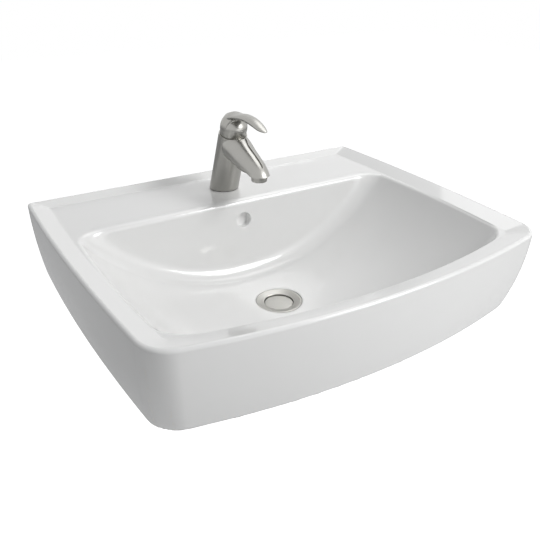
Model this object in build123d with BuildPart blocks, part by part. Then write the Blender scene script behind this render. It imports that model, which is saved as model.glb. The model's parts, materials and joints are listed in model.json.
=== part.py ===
from build123d import *
import math
import os

os.makedirs("parts", exist_ok=True)

# Frame: x = 0 is the middle plane, y = 0 the wall and z = 0 the line of the two
# wall fixings. The front faces -Y. All sizes are in millimetres.

# Basin, outer form
rim_z = 75.0
back_width = 600.0
front_width = 577.4
side_bow = 8.0
corner_depth = 461.6
front_bow = 35.1
apron_depth = 122.0
front_apron_r = 310.0
side_apron_r = 680.0
front_corner_r = 44.0
back_corner_r = 6.0
apron_edge_r = 3.5
rim_edge_r = 4.0
rim_land = 4.6

# Sloping rim band and flat tap deck
band_drop = 9.0
band_side = 29.0
band_front = 30.0
band_back = 15.0
band_corner_r = 12.0
band_back_corner_r = 2.0
deck_thickness = 14.0

# Bowl: a round trough that also curves gently from front to back
bowl_depth = 139.0
trough_r = 344.0
trough_long_r = 1500.0
trough_sweep = 14.0
inner_joint = 2.5
bowl_back = 134.0
bowl_back_draft = 2.0
bowl_front_ledge = 3.0
bowl_front_draft = 6.0
bowl_fillet = 27.0
bowl_edge_r = 3.0
deck_roll_r = 9.0
deck_roll_angle = 58.0
shell = 11.0

# Underside walls
side_wall = 13.0
front_wall = 30.0
back_wall = 15.0

# Wall fixings
fixing_spacing = 280.0
fixing_hole_r = 8.0
hanger_r = 5.0
hanger_thread_r = 4.8
hanger_shank_in = 3.0
hanger_in_wall = 70.0
bush_flange_r = 15.0
bush_flange = 3.0
bush_sleeve = 11.0
washer_r = 14.0
washer_thickness = 2.0
fixing_nut_flats = 17.0
fixing_nut_height = 8.0
hanger_tip = 6.0

# Overflow and waste openings in the ceramic
overflow_drop = 43.3
overflow_r = 12.3
duct_width = 44.0
duct_depth = 16.0
duct_wall = 7.0
waste_y = -242.3
waste_hole_r = 24.5
waste_boss_r = 33.0
waste_boss_depth = 36.0
flange_seat_r = 36.6
flange_seat_depth = 3.0

# Tap hole
tap_y = -68.2
tap_hole_r = 17.5

# Tap, outer form. Each spout section is (y, height above the rim, radius, slope of
# the spout there in degrees, share of the radius that the underside keeps).
tap_base_r = 23.9
tap_top_r = 22.3
tap_top_y = -103.4
tap_top_rise = 89.2
tap_tilt = 13.6
spout_sections = (
    (-101.0, 74.7, 19.0, 19.9, 0.85),
    (-125.0, 66.0, 22.2, 19.9, 0.82),
    (-140.0, 60.5, 20.5, 19.9, 0.76),
    (-156.0, 55.0, 19.1, 19.9, 0.68),
    (-170.0, 50.8, 17.2, 45.0, 0.50),
    (-182.8, 46.3, 15.7, 90.0, 1.00),
)
ring_flare = 8.0
groove_depth = 1.8
groove_half = 4.6
groove_mouth_half = 9.0

# Tap, underneath
gasket_thickness = 1.0
gasket_in_r = 18.0
stud_r = 4.0
stud_back = 12.0
stud_in_body = 14.0
stud_below = 45.0
plate_r = 23.0
plate_slot_r = 13.0
plate_slot_shift = 7.0
plate_thickness = 3.0
plate_gasket = 2.0
stud_nut_flats = 13.0
stud_nut_height = 11.0
inlet_r = 4.5
inlet_x = 8.0
inlet_back = 6.0
inlet_depth = 12.0
water_r = 3.5
outlet_r = 5.0

# Cartridge, measured from the tap's top ring along the ring's own axis
pocket_r = 20.6
pocket_floor = -10.5
nut_pocket_r = 19.5
nut_pocket_floor = -17.0
cartridge_r = 17.2
cartridge_floor = -34.0
base_plate = 4.0
neck_r = 13.5
neck_top = 1.4
bore_r = 11.0
neck_bore_r = 9.3
neck_lip_low = -0.6
cartridge_nut_top = -11.0
nut_notch = 4.5
fixed_disc_low = -20.0
moving_disc_low = -15.5
carrier_low = -11.5
carrier_top = -7.6
port_r = 3.2
port_x = 5.5
port_back = 4.0
port_front = 5.5
disc_r = 8.5
disc_shift = 2.15
guide_low = -6.5
guide_top = 5.0
guide_slot_front = 6.3
guide_slot_back = 4.2
guide_slot_width = 7.0
pivot_h = 2.0
pin_r = 1.5
spindle_width = 6.4
spindle_length = 5.0
spindle_square = 7.0
spindle_top = 19.0
ball_r = 2.0
ball_drop = 11.0
socket_r = 2.45

# Handle, in the same ring frame. Each lever section is (distance behind the ring's
# axis, half width, underside height, top height).
hood_r = 20.25
hood_inner_r = 18.3
hood_wide_r = 21.0
hood_wide_h = 12.0
hood_top_h = 34.6
hood_front_top_h = 28.0
skirt_front_h = -9.0
skirt_back_h = -1.5
slit_back = -8.8
tilt_range = 22.0
trim_gap = 0.06
lever_sections = (
    (5.0, 14.0, 12.0, 33.7),
    (-8.8, 14.3, 27.5, 38.0),
    (-23.0, 12.0, 33.0, 44.3),
    (-38.0, 10.5, 38.5, 48.3),
    (-54.0, 9.3, 41.0, 51.0),
    (-66.0, 8.5, 42.0, 51.2),
    (-78.0, 7.0, 43.0, 50.0),
    (-87.0, 4.0, 45.5, 48.5),
)
handle_post_r = 7.0
handle_post_low = 9.5
grub_h = 15.0
grub_r = 2.5
grub_length = 6.0
indicator_r = 4.0
indicator_length = 2.5

# Aerator
aerator_r = 12.7
aerator_low_r = 11.6
aerator_height = 8.9
aerator_thread_r = 10.9
aerator_thread = 4.0
aerator_bore_r = 9.0
aerator_washer = 1.5
insert_hole_r = 0.9

# Waste: radii, and heights measured from the bowl's floor
flange_r = 35.9
flange_top = 1.2
upper_seal = 1.5
cup_r = 22.6
cup_lip = -1.4
cup_wall_low = -6.0
cup_outer_r = 24.1
waste_in_r = 18.0
waste_out_r = 20.95
waste_low = -58.0
waste_slot = 10.0
waste_slot_top = -14.0
waste_slot_low = -25.0
hub_r = 7.5
hub_top = -36.0
hub_low = -40.0
hub_arm = 3.0
barrel_r = 6.0
barrel_bore_r = 4.2
barrel_shoulder_r = 9.0
barrel_shoulder = 2.0
barrel_low = -58.0
plunger_low = -48.0
disc_plug_r = 21.7
disc_plug_top = -2.4
disc_plug_edge = 0.6
disc_plug_low = -5.4
plug_hub_r = 17.0
plug_hub_low = -8.4
plug_seal_r = 20.6
plug_travel = 8.0
spring_r = 7.3
spring_wire_r = 0.6
spring_pitch = 5.0
lower_seal_r = 30.0
lower_seal_height = 6.0
slip_washer = 2.0
back_nut_flats = 55.0
back_nut_height = 8.0
tail_r = 16.0
tail_wall = 1.5
tail_collar = 4.0
tail_low = -98.0

fit_gap = 0.3
running_gap = 0.08


def apron_inset(radius, depth):
    """How far an apron of this section radius has drawn in, this far down."""
    return radius - math.sqrt(radius**2 - depth**2)


def plan_outline(plane, side_in, front_in, back_in, corner_r, back_r):
    """The basin's plan outline, drawn in from its full size."""
    back_half = back_width / 2 - side_in
    front_half = front_width / 2 - side_in
    mid_half = (back_half + front_half) / 2 + side_bow
    back_y = -back_in
    corner_y = -corner_depth + front_in
    mid_y = (back_y + corner_y) / 2
    front_y = corner_y - front_bow
    with BuildSketch(plane) as outline:
        with BuildLine():
            Line((-back_half, back_y), (back_half, back_y))
            ThreePointArc((back_half, back_y), (mid_half, mid_y), (front_half, corner_y))
            ThreePointArc((front_half, corner_y), (0, front_y), (-front_half, corner_y))
            ThreePointArc((-front_half, corner_y), (-mid_half, mid_y), (-back_half, back_y))
        make_face()
        fillet(outline.vertices().group_by(Axis.Y)[0], corner_r)
        fillet(outline.vertices().group_by(Axis.Y)[-1], back_r)
    return outline.sketch


def save(piece, name):
    """Label a finished piece and write it."""
    piece.part.label = name
    export_step(piece.part, f"parts/{name}.step")


deck_z = rim_z - band_drop
deck_under = deck_z - deck_thickness
floor_z = rim_z - bowl_depth
apron_z = rim_z - apron_depth
cut_top = rim_z + 40.0
cut_low = floor_z - 60.0
band_half = front_width / 2 - band_side
band_front_r = (band_half**2 + front_bow**2) / (2 * front_bow)
band_centre_y = band_front_r - front_bow - corner_depth + band_front


def trough(grow, joint):
    """The bowl's curved floor, as a closed solid that runs on above the rim."""
    radius = trough_r + grow
    low = floor_z - grow
    half = math.sqrt(radius**2 - (radius - (cut_top - low)) ** 2)
    axis_z = floor_z + trough_long_r
    turn = math.radians(joint)
    start = Plane(
        origin=(0, waste_y, axis_z),
        x_dir=(1, 0, 0),
        z_dir=(0, -math.cos(turn), -math.sin(turn)),
    )
    with BuildPart() as cut:
        for sweep in (trough_sweep, -trough_sweep):
            with BuildSketch(start):
                with BuildLine():
                    ThreePointArc((-half, cut_top - axis_z), (0, low - axis_z), (half, cut_top - axis_z))
                    Line((half, cut_top - axis_z), (-half, cut_top - axis_z))
                make_face()
            revolve(axis=Axis((0, waste_y, axis_z), (1, 0, 0)), revolution_arc=sweep)
    return cut.part


def front_limit(grow):
    """Everything behind the bowl's sloping, bowed front wall."""
    slope = math.tan(math.radians(bowl_front_draft))
    with BuildPart() as keep:
        for level in (cut_low, cut_top):
            reach = band_front_r - bowl_front_ledge + (level - deck_z) * slope
            with BuildSketch(Plane.XY.offset(level)):
                with Locations((0, band_centre_y)):
                    Circle(reach + grow)
        loft(ruled=True)
    return keep.part


def back_limit(grow, rolled):
    """Everything in front of the bowl's back wall, which rolls over to the deck."""
    slope = math.tan(math.radians(bowl_back_draft))
    far = -corner_depth - 2 * front_bow
    wall_y = -bowl_back + grow
    roll_z = deck_z - deck_roll_r
    turn = math.radians(deck_roll_angle)
    centre_y = wall_y + deck_roll_r
    roll_end = (
        centre_y - deck_roll_r * math.cos(turn),
        roll_z + deck_roll_r * math.sin(turn),
    )
    top_y = roll_end[0] + (cut_top - roll_end[1]) * math.tan(turn)
    roll_mid = (
        centre_y - deck_roll_r * math.cos(turn / 2),
        roll_z + deck_roll_r * math.sin(turn / 2),
    )
    with BuildPart() as keep:
        with BuildSketch(Plane.YZ):
            with BuildLine():
                Line((far, cut_low), (wall_y - (roll_z - cut_low) * slope, cut_low))
                Line((wall_y - (roll_z - cut_low) * slope, cut_low), (wall_y, roll_z))
                if rolled:
                    ThreePointArc((wall_y, roll_z), roll_mid, roll_end)
                    Line(roll_end, (top_y, cut_top))
                    Line((top_y, cut_top), (far, cut_top))
                else:
                    Line((wall_y, roll_z), (wall_y, cut_top))
                    Line((wall_y, cut_top), (far, cut_top))
                Line((far, cut_top), (far, cut_low))
            make_face()
        extrude(amount=back_width, both=True)
    return keep.part


def bowl_form(grow, rolled, corner_r, joint):
    """The bowl's hollow, or with a growth its outer form, rounded at the floor."""
    floor_part = trough(grow, joint)
    front_part = front_limit(grow)
    back_part = back_limit(grow, rolled)
    with BuildPart() as form:
        add(floor_part)
        add(front_part, mode=Mode.INTERSECT)
        add(back_part, mode=Mode.INTERSECT)
        for end in (0, -1):
            floor_face = form.faces().sort_by(Axis.Z)[0]
            low_edges = floor_face.edges().filter_by(lambda e: e.center().Z < cut_top - 1)
            front_edge = low_edges.sort_by(Axis.Y)[:1]
            back_edges = low_edges.sort_by(Axis.Y)[1:]
            fillet(back_edges if end else front_edge, corner_r)
    return form.part


def slab(low, high):
    """Everything between two heights."""
    with BuildPart() as layer:
        with BuildSketch(Plane.XY.offset(low)):
            Rectangle(3 * back_width, 3 * back_width)
        extrude(amount=high - low)
    return layer.part


bowl_space = bowl_form(0, True, bowl_fillet, inner_joint)
bowl_outer = bowl_form(shell, False, bowl_fillet + shell, 0)

bottom_side_in = apron_inset(side_apron_r, apron_depth)
bottom_front_in = apron_inset(front_apron_r, apron_depth)
corner_share = 0.8
back_trim = 0.02

with BuildPart() as underside:
    add(
        plan_outline(
            Plane.XY.offset(cut_low),
            bottom_side_in + side_wall,
            corner_share * bottom_front_in + front_wall,
            back_wall,
            front_corner_r - side_wall,
            back_corner_r,
        )
    )
    extrude(amount=deck_under - cut_low)
    add(bowl_outer, mode=Mode.SUBTRACT)

with BuildPart() as bowl_bulge:
    add(bowl_outer)
    add(slab(cut_low, deck_under), mode=Mode.INTERSECT)

# The rim band slopes down from the rim's rounded edge. Its cutter runs on above
# the rim at the same slope.
with BuildPart() as band_space:
    for side in (0, 1):
        add(
            plan_outline(
                Plane.XY.offset(deck_z + 2 * side * band_drop),
                band_side + 2 * side * (rim_land - band_side),
                band_front + 2 * side * (rim_land - band_front),
                band_back + 2 * side * (rim_land - band_back),
                band_corner_r + 2 * side * (front_corner_r - rim_land - band_corner_r),
                band_back_corner_r + side * rim_land,
            )
        )
    loft(ruled=True)

duct_back_y = -bowl_back + shell + duct_depth
duct_low = floor_z - shell - duct_depth

with BuildPart() as basin:
    for depth in (0, apron_depth / 3, 2 * apron_depth / 3, apron_depth):
        side_in = apron_inset(side_apron_r, depth)
        front_in = apron_inset(front_apron_r, depth)
        add(
            plan_outline(
                Plane.XY.offset(rim_z - depth),
                side_in,
                corner_share * front_in,
                0,
                front_corner_r,
                back_corner_r,
            )
        )
    loft()
    fillet(basin.edges().group_by(Axis.Z)[0], apron_edge_r)
    fillet(basin.edges().group_by(Axis.Z)[-1], rim_edge_r)
    add(underside, mode=Mode.SUBTRACT)
    add(bowl_bulge)
    # the waste boss, and the ridge that holds the overflow's duct
    with BuildSketch(Plane.XY.offset(floor_z - waste_boss_depth)):
        with Locations((0, waste_y)):
            Circle(waste_boss_r)
    extrude(amount=waste_boss_depth - flange_seat_depth)
    with BuildSketch(Plane.XZ.offset(-duct_back_y)):
        with Locations((0, (deck_under + duct_low) / 2)):
            Rectangle(duct_width, deck_under - duct_low)
    extrude(amount=duct_depth + shell / 2)
    with BuildSketch(Plane.XZ.offset(-duct_back_y)):
        with Locations((0, floor_z - shell / 2 - (duct_depth + shell / 2) / 2)):
            Rectangle(duct_width, duct_depth + shell / 2)
    extrude(amount=duct_back_y - waste_y)
    add(band_space, mode=Mode.SUBTRACT)
    add(bowl_space, mode=Mode.SUBTRACT)
    deck_face = basin.faces().filter_by(Plane.XY).filter_by_position(Axis.Z, deck_z - 0.1, deck_z + 0.1)
    fillet(deck_face.sort_by(SortBy.AREA)[-1].inner_wires()[0].edges(), bowl_edge_r)
    # the back is cut flat, to stand against the wall
    with BuildSketch(Plane.XZ.offset(back_trim)):
        Rectangle(3 * back_width, 3 * back_width)
    extrude(amount=-2 * back_wall, mode=Mode.SUBTRACT)
    # flange seat and waste hole
    with BuildSketch(Plane.XY.offset(floor_z - flange_seat_depth)):
        with Locations((0, waste_y)):
            Circle(flange_seat_r)
    extrude(amount=4 * flange_seat_depth, mode=Mode.SUBTRACT)
    with BuildSketch(Plane.XY.offset(cut_low)):
        with Locations((0, waste_y)):
            Circle(waste_hole_r)
    extrude(amount=floor_z - cut_low, mode=Mode.SUBTRACT)
    # overflow hole, and its duct down the back wall and under the floor
    duct_half = duct_width / 2 - duct_wall
    duct_y = duct_back_y - duct_wall
    duct_deep = duct_depth - duct_wall
    with BuildSketch(Plane.XZ.offset(-duct_y)):
        with Locations((0, rim_z - overflow_drop)):
            Circle(overflow_r)
    extrude(amount=bowl_back, mode=Mode.SUBTRACT)
    duct_floor = duct_low + duct_wall
    duct_top = rim_z - overflow_drop + overflow_r + duct_wall / 2
    with BuildSketch(Plane.XZ.offset(-duct_y)):
        with Locations((0, (duct_top + duct_floor) / 2)):
            Rectangle(2 * duct_half, duct_top - duct_floor)
    extrude(amount=duct_deep, mode=Mode.SUBTRACT)
    with BuildSketch(Plane.XZ.offset(-duct_y)):
        with Locations((0, duct_floor + duct_deep / 2)):
            Rectangle(2 * duct_half, duct_deep)
    extrude(amount=duct_y - waste_y, mode=Mode.SUBTRACT)
    # tap hole and the two fixing holes
    with BuildSketch(Plane.XY.offset(deck_z)):
        with Locations((0, tap_y)):
            Circle(tap_hole_r)
    extrude(amount=-2 * deck_thickness, mode=Mode.SUBTRACT)
    with BuildSketch(Plane.XZ):
        with GridLocations(fixing_spacing, 0, 2, 1):
            Circle(fixing_hole_r)
    extrude(amount=2 * back_wall, mode=Mode.SUBTRACT)

save(basin, "basin")

def ring_shape(profile, plane, axis):
    """A closed profile of (radius, height) points, turned about an axis."""
    with BuildPart() as turned:
        with BuildSketch(plane):
            with BuildLine():
                Polyline(*profile, close=True)
            make_face()
        revolve(axis=axis)
    return turned.part


# Wall fixings
with BuildPart() as hanger_bolts:
    hanger_out = back_wall + bush_flange + washer_thickness + fixing_nut_height + hanger_tip
    with BuildSketch(Plane.XZ.offset(-hanger_in_wall)):
        with GridLocations(fixing_spacing, 0, 2, 1):
            Circle(hanger_r)
    extrude(amount=hanger_in_wall + hanger_shank_in)
    with BuildSketch(Plane.XZ):
        with GridLocations(fixing_spacing, 0, 2, 1):
            Circle(hanger_thread_r)
    extrude(amount=hanger_out)
    chamfer(hanger_bolts.edges().group_by(Axis.Y)[0], hanger_r / 5)
save(hanger_bolts, "hanger_bolts")

with BuildPart() as fixing_bushes:
    with BuildSketch(Plane.XZ.offset(back_wall - bush_sleeve)):
        with GridLocations(fixing_spacing, 0, 2, 1):
            Circle(fixing_hole_r - running_gap)
    extrude(amount=bush_sleeve)
    with BuildSketch(Plane.XZ.offset(back_wall)):
        with GridLocations(fixing_spacing, 0, 2, 1):
            Circle(bush_flange_r)
    extrude(amount=bush_flange)
    with BuildSketch(Plane.XZ):
        with GridLocations(fixing_spacing, 0, 2, 1):
            Circle(hanger_thread_r + running_gap)
    extrude(amount=2 * back_wall, mode=Mode.SUBTRACT)
save(fixing_bushes, "fixing_bushes")

with BuildPart() as fixing_washers:
    with BuildSketch(Plane.XZ.offset(back_wall + bush_flange)):
        with GridLocations(fixing_spacing, 0, 2, 1):
            Circle(washer_r)
            Circle(hanger_thread_r + running_gap, mode=Mode.SUBTRACT)
    extrude(amount=washer_thickness)
save(fixing_washers, "fixing_washers")

with BuildPart() as fixing_nuts:
    with BuildSketch(Plane.XZ.offset(back_wall + bush_flange + washer_thickness)):
        with GridLocations(fixing_spacing, 0, 2, 1):
            RegularPolygon(fixing_nut_flats / 2, 6, major_radius=False)
            Circle(hanger_thread_r + running_gap, mode=Mode.SUBTRACT)
    extrude(amount=fixing_nut_height)
save(fixing_nuts, "fixing_nuts")

# Waste. Heights run from the bowl's floor.
waste_plane = Plane(origin=(0, waste_y, floor_z), x_dir=(1, 0, 0), z_dir=(0, -1, 0))
waste_axis = Axis((0, waste_y, floor_z), (0, 0, 1))
seat_z = -flange_seat_depth
boss_low = -waste_boss_depth


def waste_ring(*profile):
    """A ring about the waste's axis."""
    return ring_shape(profile, waste_plane, waste_axis)


with BuildPart() as waste_upper_seal:
    seal_in_r = waste_hole_r + fit_gap
    seal_out_r = flange_r - 2
    add(
        waste_ring(
            (seal_in_r, seat_z),
            (seal_out_r, seat_z),
            (seal_out_r, seat_z + upper_seal),
            (seal_in_r, seat_z + upper_seal),
        )
    )
save(waste_upper_seal, "waste_upper_seal")

with BuildPart() as waste_body:
    flange_low = seat_z + upper_seal
    add(
        waste_ring(
            (flange_r, flange_low),
            (flange_r, flange_top - 1.2),
            (flange_r - 0.4, flange_top - 0.4),
            (flange_r - 1.4, flange_top),
            (flange_r - 3, flange_top),
            (cup_r + 0.5, cup_lip + 0.2),
            (cup_r, cup_lip - 0.3),
            (cup_r, cup_wall_low),
            (waste_in_r, 2 * cup_wall_low),
            (waste_in_r, waste_low),
            (waste_out_r, waste_low),
            (waste_out_r, 2 * cup_wall_low - 3),
            (cup_outer_r, cup_wall_low - 3),
            (cup_outer_r, flange_low),
        )
    )
    slot_height = waste_slot_top - waste_slot_low
    with BuildSketch(Plane.XY.offset(floor_z + waste_slot_low)):
        with Locations((0, waste_y)):
            Rectangle(waste_slot, 3 * waste_out_r)
            Rectangle(3 * waste_out_r, waste_slot)
    extrude(amount=slot_height, mode=Mode.SUBTRACT)
    with BuildSketch(Plane.XY.offset(floor_z + hub_low)):
        with Locations((0, waste_y)):
            Circle(hub_r + 1)
            with PolarLocations(waste_in_r / 2, 3):
                Rectangle(waste_in_r + 1, hub_arm)
            Circle(barrel_r + running_gap, mode=Mode.SUBTRACT)
    extrude(amount=hub_top - hub_low)
save(waste_body, "waste_body")

with BuildPart() as waste_lower_seal:
    add(
        waste_ring(
            (waste_out_r + running_gap, boss_low),
            (lower_seal_r, boss_low),
            (lower_seal_r, boss_low - lower_seal_height / 2),
            (lower_seal_r - 3, boss_low - lower_seal_height),
            (waste_out_r + running_gap, boss_low - lower_seal_height),
        )
    )
save(waste_lower_seal, "waste_lower_seal")

washer_z = boss_low - lower_seal_height
nut_z = washer_z - slip_washer
with BuildPart() as slip_washer_ring:
    add(
        waste_ring(
            (waste_out_r + running_gap, washer_z),
            (lower_seal_r - 1, washer_z),
            (lower_seal_r - 1, nut_z),
            (waste_out_r + running_gap, nut_z),
        )
    )
save(slip_washer_ring, "slip_washer")

with BuildPart() as back_nut:
    with BuildSketch(Plane.XY.offset(floor_z + nut_z)):
        with Locations((0, waste_y)):
            RegularPolygon(back_nut_flats / 2, 6, major_radius=False)
            Circle(waste_out_r + running_gap, mode=Mode.SUBTRACT)
    extrude(amount=-back_nut_height)
save(back_nut, "back_nut")

with BuildPart() as waste_tail:
    collar_low = waste_low - tail_collar
    tail_in_r = tail_r - tail_wall
    add(
        waste_ring(
            (tail_in_r, waste_low),
            (waste_out_r, waste_low),
            (waste_out_r, collar_low),
            (tail_r, collar_low),
            (tail_r, tail_low),
            (tail_in_r, tail_low),
        )
    )
save(waste_tail, "waste_tail")

with BuildPart() as click_barrel:
    shoulder_top = hub_top + barrel_shoulder
    add(
        waste_ring(
            (0, barrel_low),
            (barrel_r, barrel_low),
            (barrel_r, hub_top),
            (barrel_shoulder_r, hub_top),
            (barrel_shoulder_r, shoulder_top),
            (barrel_bore_r, shoulder_top),
            (barrel_bore_r, barrel_low + 2),
            (0, barrel_low + 2),
        )
    )
save(click_barrel, "click_barrel")

with BuildPart() as click_plunger:
    plunger_r = barrel_bore_r - running_gap
    add(
        waste_ring(
            (0, plunger_low),
            (plunger_r, plunger_low),
            (plunger_r, plug_hub_low),
            (0, plug_hub_low),
        )
    )
save(click_plunger, "click_plunger")

with BuildPart() as click_spring:
    spring_low = floor_z + shoulder_top + spring_wire_r
    spring_length = plug_hub_low - shoulder_top - 2 * spring_wire_r
    with BuildLine():
        coil = Helix(
            pitch=spring_pitch,
            height=spring_length,
            radius=spring_r,
            center=(0, waste_y, spring_low),
        )
    with BuildSketch(Plane(origin=coil @ 0, z_dir=coil % 0)):
        Circle(spring_wire_r)
    sweep(path=coil, is_frenet=True)
save(click_spring, "click_spring")

with BuildPart() as plug_disc:
    add(
        waste_ring(
            (0, plug_hub_low),
            (plug_hub_r, plug_hub_low),
            (plug_hub_r, disc_plug_low),
            (disc_plug_r, disc_plug_low),
            (disc_plug_r, disc_plug_top - disc_plug_edge - 0.4),
            (disc_plug_r - 0.5, disc_plug_top - disc_plug_edge),
            (disc_plug_r - 4, disc_plug_top - 0.3),
            (disc_plug_r - 11, disc_plug_top - 0.05),
            (0, disc_plug_top),
        )
    )
save(plug_disc, "plug_disc")

with BuildPart() as plug_seal:
    add(
        waste_ring(
            (plug_hub_r, plug_hub_low + 0.4),
            (plug_seal_r - 0.4, plug_hub_low + 0.4),
            (plug_seal_r, plug_hub_low + 1),
            (plug_seal_r, disc_plug_low),
            (plug_hub_r, disc_plug_low),
        )
    )
save(plug_seal, "plug_seal")

# Tap. The ring plane lies on the tap's top ring; its own Y runs to the rear.
ring_z = rim_z + tap_top_rise
lean = math.radians(tap_tilt)
ring_origin = Vector(0, tap_top_y, ring_z)
ring_back = Vector(0, math.cos(lean), math.sin(lean))
ring_up = Vector(0, -math.sin(lean), math.cos(lean))
ring_plane = Plane(origin=ring_origin, x_dir=(1, 0, 0), z_dir=ring_up)
ring_side = Plane(origin=ring_origin, x_dir=ring_back, z_dir=(1, 0, 0))
ring_axis = Axis(ring_origin, ring_up)
pivot = ring_origin + ring_up * pivot_h
tap_base_z = deck_z + gasket_thickness


def ring_turned(*profile):
    """A closed profile of (radius, height above the ring), turned about its axis."""
    return ring_shape(profile, ring_side, ring_axis)


def ring_cylinder(radius, low, high, x=0.0, back=0.0):
    """A cylinder along the ring's axis between two heights."""
    with BuildPart() as piece:
        with BuildSketch(ring_plane.offset(low)):
            with Locations((x, back)):
                Circle(radius)
        extrude(amount=high - low)
    return piece.part


def rod(start, end, radius):
    """A cylinder from one point to another."""
    way = Vector(*end) - Vector(*start)
    with BuildPart() as piece:
        with BuildSketch(Plane(origin=start, z_dir=way)):
            Circle(radius)
        extrude(amount=way.length)
    return piece.part


def spout(shrink):
    """The spout through its sections, smaller all round by the shrink."""
    with BuildPart() as body:
        for y, rise, radius, slope, share in spout_sections:
            turn = math.radians(slope)
            outer = radius - shrink
            plane = Plane(
                origin=(0, y, rim_z + rise),
                x_dir=(1, 0, 0),
                z_dir=(0, -math.cos(turn), -math.sin(turn)),
            )
            with BuildSketch(plane):
                with BuildLine():
                    ThreePointArc((outer, 0), (0, outer), (-outer, 0))
                    EllipticalCenterArc((0, 0), outer, outer * share, 180, arc_size=180)
                make_face()
        loft()
    return body.part


def at_ring(x, back, height):
    """A point given in the ring's own directions."""
    return ring_origin + ring_back * back + ring_up * height + Vector(x, 0, 0)


lip_y = spout_sections[-1][0]
lip_z = rim_z + spout_sections[-1][1]
spout_part = spout(0)
groove_floor = spout(groove_depth)
with BuildPart() as groove:
    with BuildSketch(Plane.XY.offset(ring_z - 40)):
        with BuildLine():
            front_y = tap_top_y - tap_top_r
            Polyline(
                (-groove_mouth_half, front_y + 12),
                (groove_mouth_half, front_y + 12),
                (groove_mouth_half, front_y - 2),
                (groove_half, front_y - 17),
                (groove_half * 0.9, lip_y - 3),
                (groove_half * 0.5, lip_y - 6),
                (-groove_half * 0.5, lip_y - 6),
                (-groove_half * 0.9, lip_y - 3),
                (-groove_half, front_y - 17),
                (-groove_mouth_half, front_y - 2),
                close=True,
            )
        make_face()
    extrude(amount=80)
    add(groove_floor, mode=Mode.SUBTRACT)

with BuildPart() as tap_body:
    with BuildSketch(Plane.XY.offset(tap_base_z)):
        with Locations((0, tap_y)):
            Circle(tap_base_r)
    with BuildSketch(ring_plane):
        Circle(tap_top_r)
    loft()
    add(spout_part)
    add(groove.part, mode=Mode.SUBTRACT)
    # clear the way above the ring, flaring out to the spout's top
    add(
        ring_turned(
            (0, 0),
            (tap_top_r, 0),
            (tap_top_r + 2 * ring_flare, 2 * ring_flare),
            (0, 2 * ring_flare),
        ),
        mode=Mode.SUBTRACT,
    )
    add(ring_cylinder(pocket_r, pocket_floor, 1), mode=Mode.SUBTRACT)
    add(ring_cylinder(nut_pocket_r, nut_pocket_floor, 0), mode=Mode.SUBTRACT)
    add(ring_cylinder(cartridge_r + running_gap, cartridge_floor, 0), mode=Mode.SUBTRACT)
    # inlets, their bores, the outlet bore and the aerator's seat
    for side in (-1, 1):
        inlet_y = tap_y + inlet_back
        with BuildSketch(Plane.XY.offset(tap_base_z)):
            with Locations((side * inlet_x, inlet_y)):
                Circle(inlet_r)
        extrude(amount=inlet_depth, mode=Mode.SUBTRACT)
        bore_start = (side * inlet_x, inlet_y, tap_base_z + inlet_depth - water_r / 2)
        bore_end = at_ring(side * port_x, port_back, cartridge_floor + 1)
        add(rod(bore_start, bore_end, water_r), mode=Mode.SUBTRACT)
    with BuildSketch(Plane.XY.offset(tap_base_z)):
        with Locations((0, tap_y - stud_back)):
            Circle(stud_r)
    extrude(amount=stud_in_body, mode=Mode.SUBTRACT)
    outlet_start = at_ring(0, -port_front - 1, cartridge_floor + 1)
    with BuildSketch(Plane.XY.offset(lip_z - 1)):
        with Locations((0, lip_y)):
            Circle(aerator_thread_r + running_gap)
    extrude(amount=1 + aerator_thread + aerator_washer, mode=Mode.SUBTRACT)
    outlet_corner = (0, lip_y + aerator_thread_r / 2, lip_z + aerator_thread + 2)
    add(rod(outlet_start, outlet_corner, outlet_r), mode=Mode.SUBTRACT)
save(tap_body, "tap_body")


def tap_ring(outer, inner, low, thickness):
    """A flat ring about the tap hole's axis."""
    with BuildPart() as piece:
        with BuildSketch(Plane.XY.offset(low)):
            with Locations((0, tap_y)):
                Circle(outer)
                Circle(inner, mode=Mode.SUBTRACT)
        extrude(amount=thickness)
    return piece.part


with BuildPart() as base_gasket:
    add(tap_ring(tap_base_r - 1, gasket_in_r, deck_z, gasket_thickness))
save(base_gasket, "base_gasket")

with BuildPart() as mounting_stud:
    with BuildSketch(Plane.XY.offset(deck_z - stud_below)):
        with Locations((0, tap_y - stud_back)):
            Circle(stud_r)
    extrude(amount=stud_below + gasket_thickness + stud_in_body)
save(mounting_stud, "mounting_stud")


def horseshoe(top, thickness):
    """The clamping plate's form, with its wide opening towards the wall."""
    with BuildPart() as piece:
        with BuildSketch(Plane.XY.offset(top)):
            with Locations((0, tap_y)):
                Circle(plate_r)
            with Locations((0, tap_y + plate_slot_shift)):
                Circle(plate_slot_r, mode=Mode.SUBTRACT)
            with Locations((0, tap_y - stud_back)):
                Circle(stud_r + running_gap, mode=Mode.SUBTRACT)
        extrude(amount=-thickness)
    return piece.part


with BuildPart() as horseshoe_gasket:
    add(horseshoe(deck_under, plate_gasket))
save(horseshoe_gasket, "horseshoe_gasket")

with BuildPart() as horseshoe_plate:
    add(horseshoe(deck_under - plate_gasket, plate_thickness))
save(horseshoe_plate, "horseshoe_plate")

with BuildPart() as mounting_nut:
    with BuildSketch(Plane.XY.offset(deck_under - plate_gasket - plate_thickness)):
        with Locations((0, tap_y - stud_back)):
            RegularPolygon(stud_nut_flats / 2, 6, major_radius=False)
            Circle(stud_r + running_gap, mode=Mode.SUBTRACT)
    extrude(amount=-stud_nut_height)
save(mounting_nut, "mounting_nut")

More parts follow.
